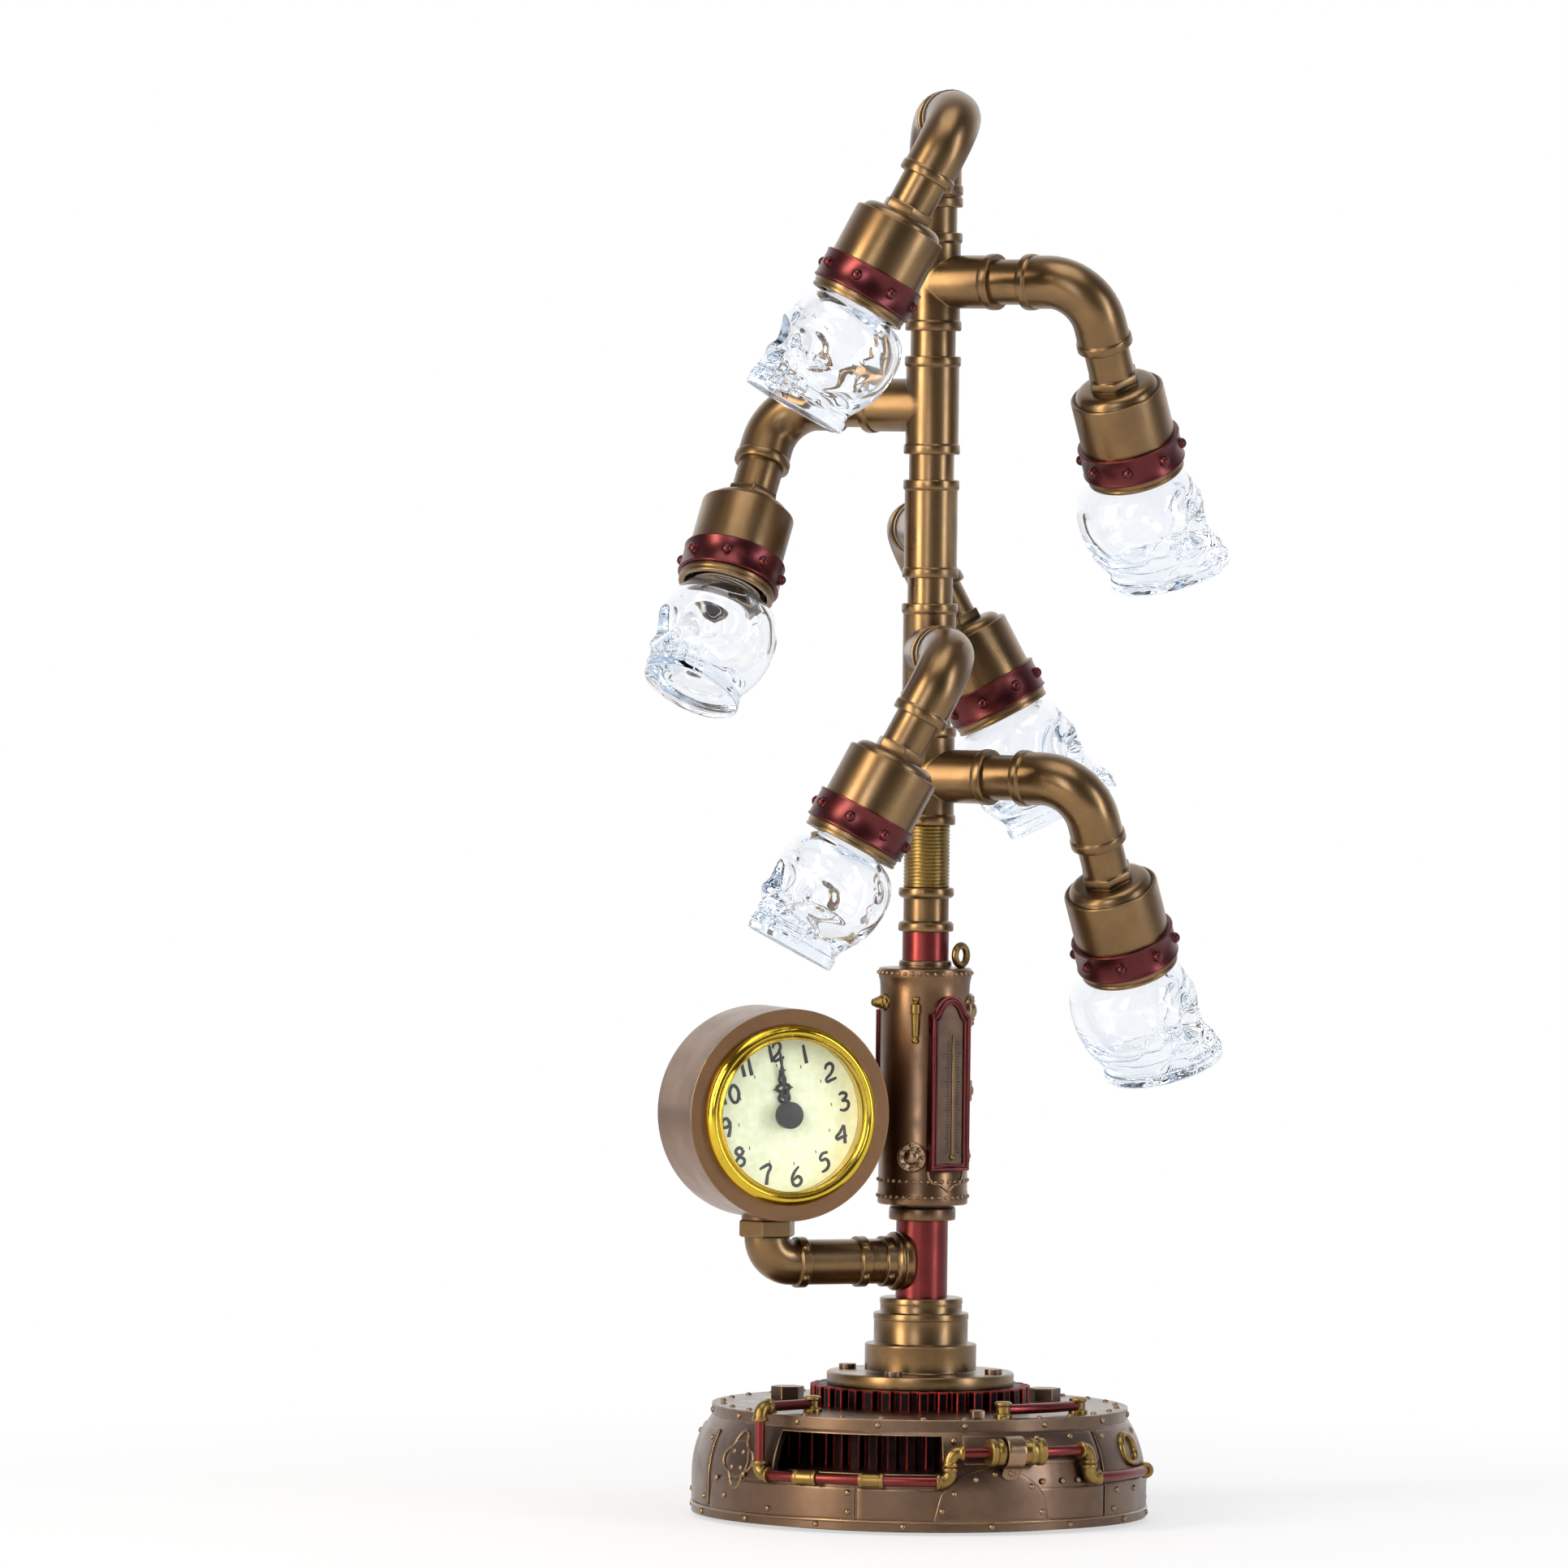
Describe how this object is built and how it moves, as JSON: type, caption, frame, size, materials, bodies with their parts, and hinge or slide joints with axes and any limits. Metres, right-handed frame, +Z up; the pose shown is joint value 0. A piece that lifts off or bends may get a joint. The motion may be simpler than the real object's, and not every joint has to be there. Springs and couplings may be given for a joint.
{
  "type": "pipe desk lamp with clock",
  "caption": "Desk lamp of bronze pipe tees on a riveted drum base, with swivel arms that end in glass skull shades, and a clock on a side branch.",
  "frame": {"origin": "middle of the foot pad on the table, on the column's axis", "axes": "+Z up along the column, -Y is the way the clock faces, -X is the way its branch leaves the column"},
  "size_m": [0.1963, 0.1623, 0.4788],
  "materials": {
    "bronze": "antique satin",
    "dark_bronze": "aged satin",
    "red_metal": "metallic red",
    "gold": "polished",
    "black_metal": "matte black",
    "glass": "clear",
    "led": "frosted",
    "black_plastic": "matte",
    "red_plastic": "glossy",
    "board": "matte",
    "felt": "felt",
    "dial": "printed ivory",
    "cell": "plain"
  },
  "bodies": {
    "root": {"column_tees": "bronze", "column_nipples": "bronze", "copper_stem": "red_metal", "boiler": "dark_bronze", "thermometer_frame": "red_metal", "thermometer_scale": "dark_bronze", "pedestal": "bronze", "deck_gear": "black_metal", "window_gear": "black_metal", "gear_shelf": "dark_bronze", "base_shell": "dark_bronze", "base_deck": "dark_bronze", "bottom_cover": "black_metal", "foot_pad": "felt", "bolts_and_screws": "bronze", "feed_pipes": "red_metal", "brass_fittings": "gold", "switch_body": "black_plastic", "driver_board": "board", "clock_arm": "bronze", "clock_case": "dark_bronze"},
    "head_1": {"elbow_1": "bronze", "cup_1": "bronze", "band_1": "red_metal", "skull_1": "glass", "led_1": "led"},
    "head_2": {"elbow_2": "bronze", "cup_2": "bronze", "band_2": "red_metal", "skull_2": "glass", "led_2": "led"},
    "head_3": {"elbow_3": "bronze", "cup_3": "bronze", "band_3": "red_metal", "skull_3": "glass", "led_3": "led"},
    "head_4": {"elbow_4": "bronze", "cup_4": "bronze", "band_4": "red_metal", "skull_4": "glass", "led_4": "led"},
    "head_5": {"elbow_5": "bronze", "cup_5": "bronze", "band_5": "red_metal", "skull_5": "glass", "led_5": "led"},
    "head_6": {"elbow_6": "bronze", "cup_6": "bronze", "band_6": "red_metal", "skull_6": "glass", "led_6": "led"},
    "insert": {"clock_bezel": "gold", "clock_lens": "glass", "clock_dial": "dial", "clock_movement": "black_plastic", "clock_battery": "cell"},
    "minute": {"minute_hand": "black_metal", "set_knob": "black_plastic"},
    "hour": {"hour_hand": "black_metal"},
    "switch_rocker": {"rocker": "red_plastic"}
  },
  "joints": [
    {"name": "arm_1_swing", "type": "hinge", "parent": "root", "child": "head_1", "pos_m": [0, 0, 0.4693], "axis": [0.2504, 0.9681, 0], "range_deg": [-28, 32]},
    {"name": "arm_2_swing", "type": "hinge", "parent": "root", "child": "head_2", "pos_m": [0, 0, 0.4153], "axis": [0.6157, -0.788, 0], "range_deg": [-28, 32]},
    {"name": "arm_3_swing", "type": "hinge", "parent": "root", "child": "head_3", "pos_m": [0, 0, 0.3738], "axis": [-0.6157, 0.788, 0], "range_deg": [-28, 32]},
    {"name": "arm_4_swing", "type": "hinge", "parent": "root", "child": "head_4", "pos_m": [0, 0, 0.3323], "axis": [-0.2504, -0.9681, 0], "range_deg": [-28, 32]},
    {"name": "arm_5_swing", "type": "hinge", "parent": "root", "child": "head_5", "pos_m": [0, 0, 0.2908], "axis": [0.2504, 0.9681, 0], "range_deg": [-28, 32]},
    {"name": "arm_6_swing", "type": "hinge", "parent": "root", "child": "head_6", "pos_m": [0, 0, 0.2493], "axis": [0.6157, -0.788, 0], "range_deg": [-28, 32]},
    {"name": "insert_slide", "type": "slide", "parent": "root", "child": "insert", "axis": [0, -1, 0], "range_m": [0, 0.035]},
    {"name": "minute_turn", "type": "hinge", "parent": "insert", "child": "minute", "pos_m": [-0.056, -0.02, 0.1365], "axis": [0, 1, 0], "continuous": true},
    {"name": "hour_turn", "type": "hinge", "parent": "insert", "child": "hour", "pos_m": [-0.056, -0.02, 0.1365], "axis": [0, 1, 0], "continuous": true},
    {"name": "rocker_tilt", "type": "hinge", "parent": "root", "child": "switch_rocker", "pos_m": [-0.009, 0.0742, 0.0097], "axis": [0, 0, 1], "range_deg": [0, 16]}
  ],
  "couplings": [
    {"joint": "hour_turn", "follows": "minute_turn", "ratio": 0.083333}
  ]
}
